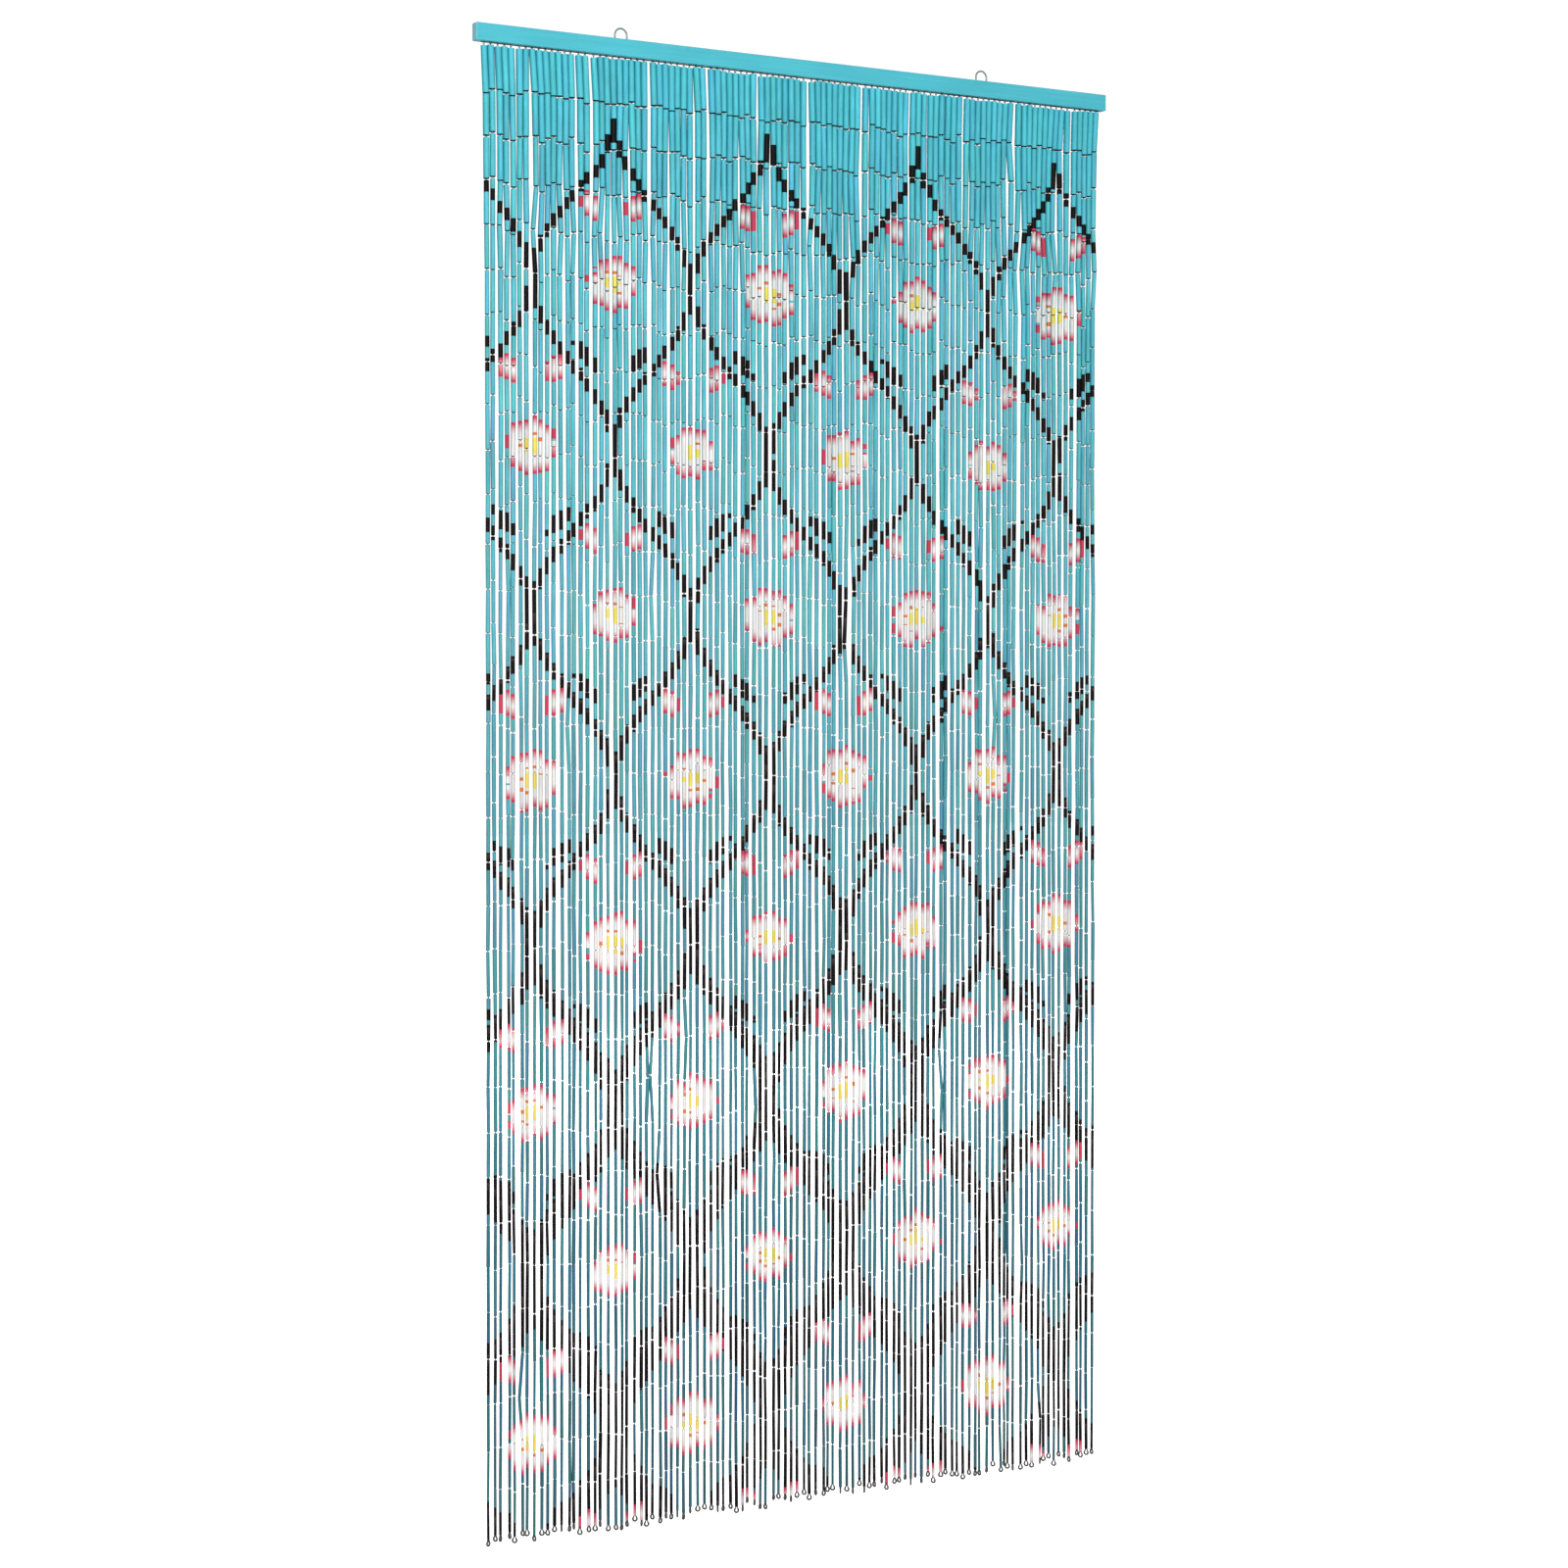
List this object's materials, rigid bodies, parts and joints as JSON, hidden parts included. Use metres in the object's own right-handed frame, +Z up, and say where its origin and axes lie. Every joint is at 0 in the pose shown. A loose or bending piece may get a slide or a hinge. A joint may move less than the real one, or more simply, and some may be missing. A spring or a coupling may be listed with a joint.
{
  "type": "fly curtain of bamboo tube strings on a header rail",
  "caption": "Door curtain of painted bamboo tube strings that hang from a painted wooden header rail with wire hanging loops.",
  "frame": {"origin": "middle of the header rail's top face, between the two hanging loops", "axes": "+Z up; +X along the rail; the painted front faces -Y and the back faces +Y, towards the wall or doorway"},
  "size_m": [1, 0.014, 2.0155],
  "materials": {
    "rail_paint": "satin turquoise paint on a planed softwood slat",
    "tube_paint": "thin satin paint on bamboo cane tubes, turquoise with dark brown, white, pink and yellow bands",
    "wire": "dull drawn steel wire"
  },
  "bodies": {
    "root": {"rail": "rail_paint", "hanger_left": "wire", "hanger_right": "wire", "strands": "tube_paint"}
  },
  "joints": []
}
